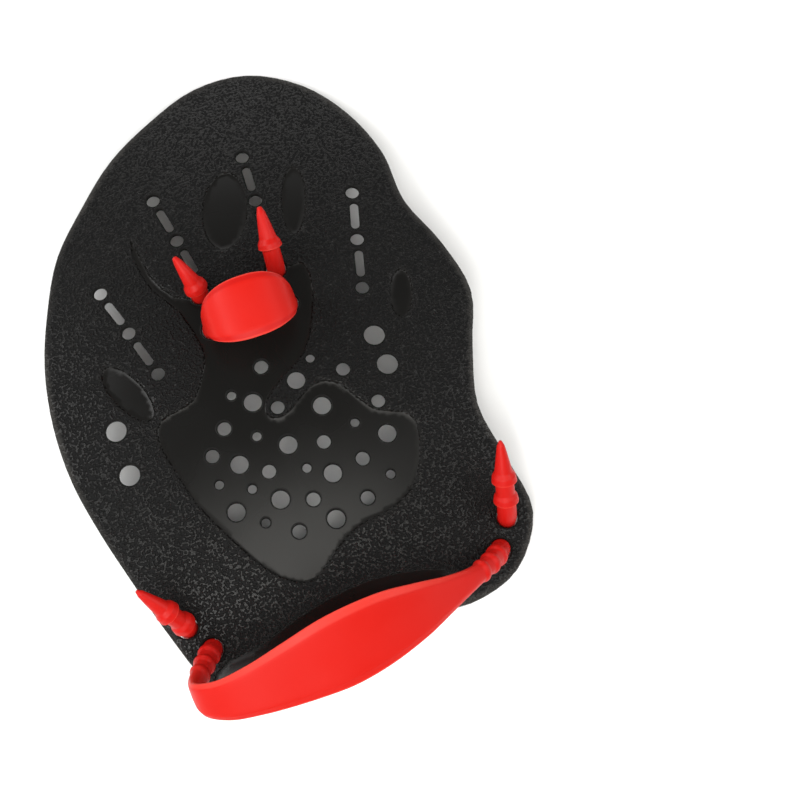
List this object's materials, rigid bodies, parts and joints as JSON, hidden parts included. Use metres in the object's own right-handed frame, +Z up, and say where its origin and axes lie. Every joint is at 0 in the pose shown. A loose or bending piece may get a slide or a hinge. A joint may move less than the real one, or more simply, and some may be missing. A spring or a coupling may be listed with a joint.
{
  "type": "swim hand paddle",
  "caption": "Domed, pierced swim hand paddle for the left hand, shaped to the spread hand, with soft threaded finger and wrist straps.",
  "frame": {"origin": "centre of the overall box in plan, at the height of the surface that the plate's rim rests on", "axes": "+X to the thumb side, +Y to the fingertips, +Z up, out of the side that the palm lies on"},
  "size_m": [0.1698, 0.2524, 0.0591],
  "materials": {
    "plate": "satin black plastic, grained like leather, smooth in the hand's prints",
    "strap": "smooth red silicone rubber"
  },
  "bodies": {
    "root": {"paddle_plate": "plate", "finger_strap": "strap", "wrist_strap": "strap"}
  },
  "joints": []
}
